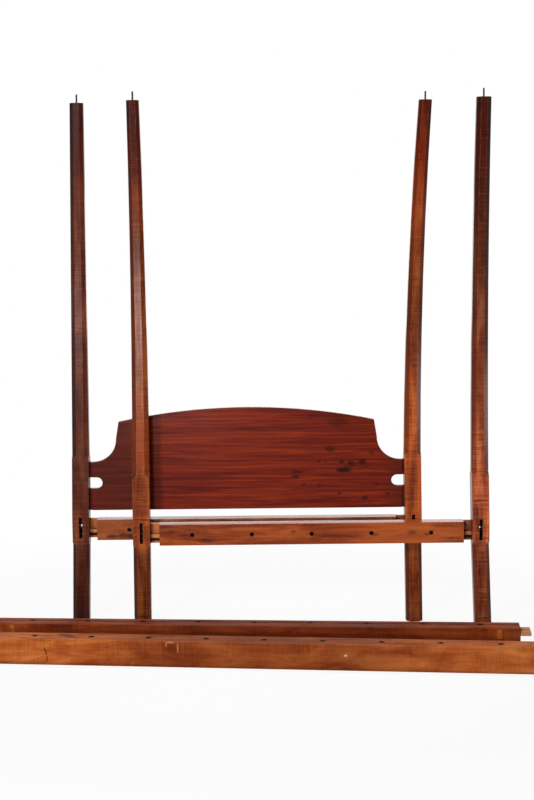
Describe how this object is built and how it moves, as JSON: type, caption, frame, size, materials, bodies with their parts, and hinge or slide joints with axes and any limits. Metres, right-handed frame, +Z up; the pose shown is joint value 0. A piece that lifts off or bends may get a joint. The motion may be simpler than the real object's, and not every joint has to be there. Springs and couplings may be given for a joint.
{
  "type": "pencil post bed",
  "caption": "Knocked-down wooden bed with tall eight-sided tapering posts, an arched headboard, rope-holed rails with tenons, and iron pins for a tester.",
  "frame": {"origin": "on the floor, at the middle of the whole layout's bounding box", "axes": "+X along the head and foot rails, to the right in the picture; +Y from the side rails towards the head frame; +Z up"},
  "size_m": [2.0612, 0.7894, 2.0516],
  "materials": {
    "post_wood": "satin varnish on curly maple",
    "rail_wood": "worn satin varnish",
    "board_wood": "dark satin varnish",
    "plug_wood": "bare, matt",
    "iron": "dark forged iron"
  },
  "bodies": {
    "head_rail": {"head_rail": "rail_wood"},
    "foot_rail": {"foot_rail": "rail_wood"},
    "headboard": {"headboard": "board_wood"},
    "foot_post_left": {"foot_post_left": "post_wood", "foot_pin_left": "iron"},
    "foot_post_right": {"foot_post_right": "post_wood", "foot_pin_right": "iron"},
    "head_post_left": {"head_post_left": "post_wood", "head_pin_left": "iron"},
    "head_post_right": {"head_post_right": "post_wood", "head_pin_right": "iron"},
    "front_side_rail": {"front_side_rail": "rail_wood", "front_rail_nut_left": "iron", "front_rail_nut_right": "iron", "front_rail_plug_left": "plug_wood", "front_rail_plug_right": "plug_wood"},
    "back_side_rail": {"back_side_rail": "rail_wood", "back_rail_nut_left": "iron", "back_rail_nut_right": "iron", "back_rail_plug_left": "plug_wood", "back_rail_plug_right": "plug_wood"}
  },
  "joints": [
    {"name": "foot_left_post_draw", "type": "slide", "parent": "foot_rail", "child": "foot_post_left", "axis": [-1, 0, 0], "range_m": [-0.0363, 0.06]},
    {"name": "foot_right_post_draw", "type": "slide", "parent": "foot_rail", "child": "foot_post_right", "axis": [1, 0, 0], "range_m": [-0.0323, 0.06]},
    {"name": "head_left_post_draw", "type": "slide", "parent": "head_rail", "child": "head_post_left", "axis": [-1, 0, 0], "range_m": [-0.0313, 0.06]},
    {"name": "head_right_post_draw", "type": "slide", "parent": "head_rail", "child": "head_post_right", "axis": [1, 0, 0], "range_m": [-0.0353, 0.06]},
    {"name": "headboard_shift", "type": "slide", "parent": "head_rail", "child": "headboard", "axis": [1, 0, 0], "range_m": [-0.006, 0.001]},
    {"name": "foot_frame_shift", "type": "slide", "parent": "head_rail", "child": "foot_rail", "axis": [0, -1, 0], "range_m": [0, 0.12]},
    {"name": "front_rail_lift", "type": "slide", "parent": "head_rail", "child": "front_side_rail", "axis": [0, 0, 1], "range_m": [0, 0.3]},
    {"name": "back_rail_lift", "type": "slide", "parent": "head_rail", "child": "back_side_rail", "axis": [0, 0, 1], "range_m": [0, 0.3]}
  ]
}
